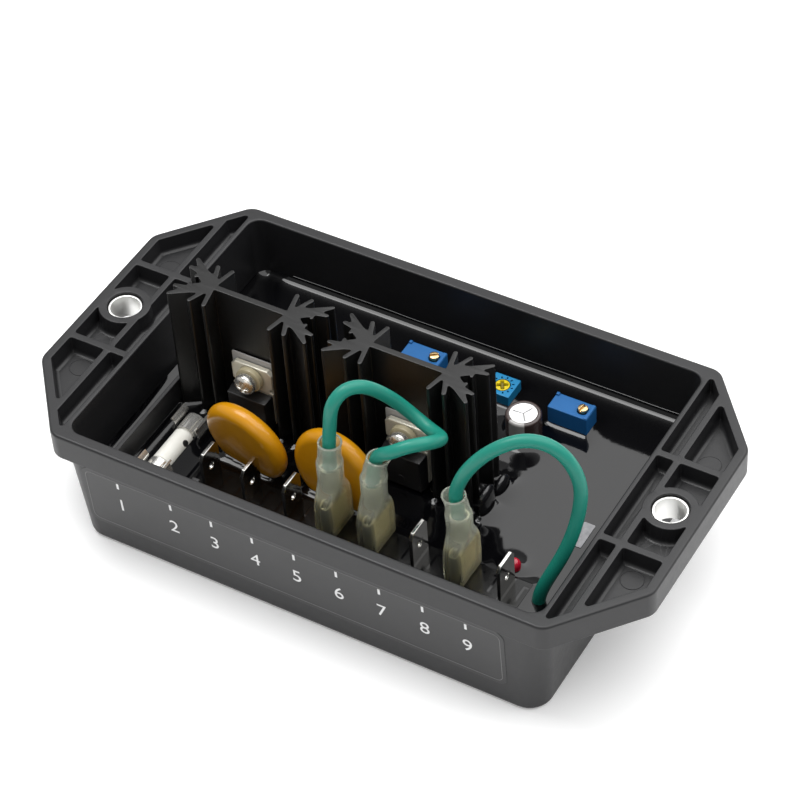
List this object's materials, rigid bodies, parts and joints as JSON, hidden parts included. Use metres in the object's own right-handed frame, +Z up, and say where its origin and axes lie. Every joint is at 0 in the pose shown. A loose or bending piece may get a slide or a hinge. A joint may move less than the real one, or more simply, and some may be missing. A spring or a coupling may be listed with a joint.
{
  "type": "automatic voltage regulator",
  "caption": "Potted generator voltage regulator in an open plastic tray with finned heat sinks, spade tabs, wire jumpers and adjustable trimmers.",
  "frame": {"origin": "centre of the tray's underside", "axes": "+X along the tray towards its right ear, +Y away from the row of spade tabs, +Z up out of the tray"},
  "size_m": [0.1484, 0.081, 0.0567],
  "materials": {
    "housing_plastic": "fine-grained moulded, dark grey",
    "bush_aluminium": "turned, bright edge",
    "board_laminate": "green laminate, under the resin",
    "resin": "glossy black potting resin",
    "heat_sink_black": "black anodised extrusion",
    "pad_grey": "matt grey silicone sheet",
    "tinned_metal": "tinned, bright",
    "case_plastic": "black moulding compound",
    "washer_cream": "cream, satin",
    "screw_steel": "zinc plated",
    "ceramic": "off-white ceramic, satin",
    "varistor_orange": "glossy dipped coating",
    "boot_vinyl": "milky translucent vinyl",
    "wire_green": "teal green insulation",
    "trimmer_blue": "deep blue, satin",
    "brass": "bright",
    "rotary_blue": "pale blue, satin",
    "rotor_yellow": "yellow, satin",
    "can_aluminium": "drawn, satin",
    "sleeve_brown": "dark shrunk sleeve",
    "led_red": "dark red, clear",
    "dip_black": "glossy black"
  },
  "bodies": {
    "root": {"housing": "housing_plastic", "bush_left": "bush_aluminium", "bush_right": "bush_aluminium", "circuit_board": "board_laminate", "potting_resin": "resin", "heat_sink_left": "heat_sink_black", "heat_sink_right": "heat_sink_black", "insulating_pad_left": "pad_grey", "insulating_pad_right": "pad_grey", "device_tab_left": "tinned_metal", "device_tab_right": "tinned_metal", "device_case_left": "case_plastic", "device_case_right": "case_plastic", "shoulder_washer_left": "washer_cream", "shoulder_washer_right": "washer_cream", "device_screw_left": "screw_steel", "device_screw_right": "screw_steel", "fuse_tube": "ceramic", "fuse_cap_front": "tinned_metal", "fuse_cap_rear": "tinned_metal", "fuse_clip_front": "tinned_metal", "fuse_clip_rear": "tinned_metal", "varistor_left": "varistor_orange", "varistor_right": "varistor_orange", "terminal_strip": "case_plastic", "spade_tab_1": "tinned_metal", "spade_tab_2": "tinned_metal", "spade_tab_3": "tinned_metal", "spade_tab_4": "tinned_metal", "spade_tab_5": "tinned_metal", "spade_tab_6": "tinned_metal", "spade_tab_7": "tinned_metal", "spade_tab_8": "tinned_metal", "receptacle_1": "tinned_metal", "boot_1": "boot_vinyl", "receptacle_2": "tinned_metal", "boot_2": "boot_vinyl", "receptacle_3": "tinned_metal", "boot_3": "boot_vinyl", "jumper_wire": "wire_green", "link_wire": "wire_green", "trimmer_body_left": "trimmer_blue", "trimmer_body_right": "trimmer_blue", "rotary_trimmer_body": "rotary_blue", "capacitor_can": "can_aluminium", "capacitor_sleeve": "sleeve_brown", "led": "led_red", "dipped_component_rear": "dip_black", "dipped_component_front": "dip_black"},
    "left_adjuster": {"trimmer_screw_left": "brass"},
    "right_adjuster": {"trimmer_screw_right": "brass"},
    "rotary_adjuster": {"rotary_trimmer_rotor": "rotor_yellow"}
  },
  "joints": [
    {"name": "left_trimmer_turn", "type": "hinge", "parent": "root", "child": "left_adjuster", "pos_m": [-0.0031, 0.0253, 0.0206], "axis": [0, 0, 1], "continuous": true},
    {"name": "right_trimmer_turn", "type": "hinge", "parent": "root", "child": "right_adjuster", "pos_m": [0.0335, 0.0257, 0.0206], "axis": [0, 0, 1], "continuous": true},
    {"name": "rotary_trimmer_turn", "type": "hinge", "parent": "root", "child": "rotary_adjuster", "pos_m": [0.0132, 0.0265, 0.0185], "axis": [0, 0, 1], "range_deg": [-130, 130]}
  ]
}
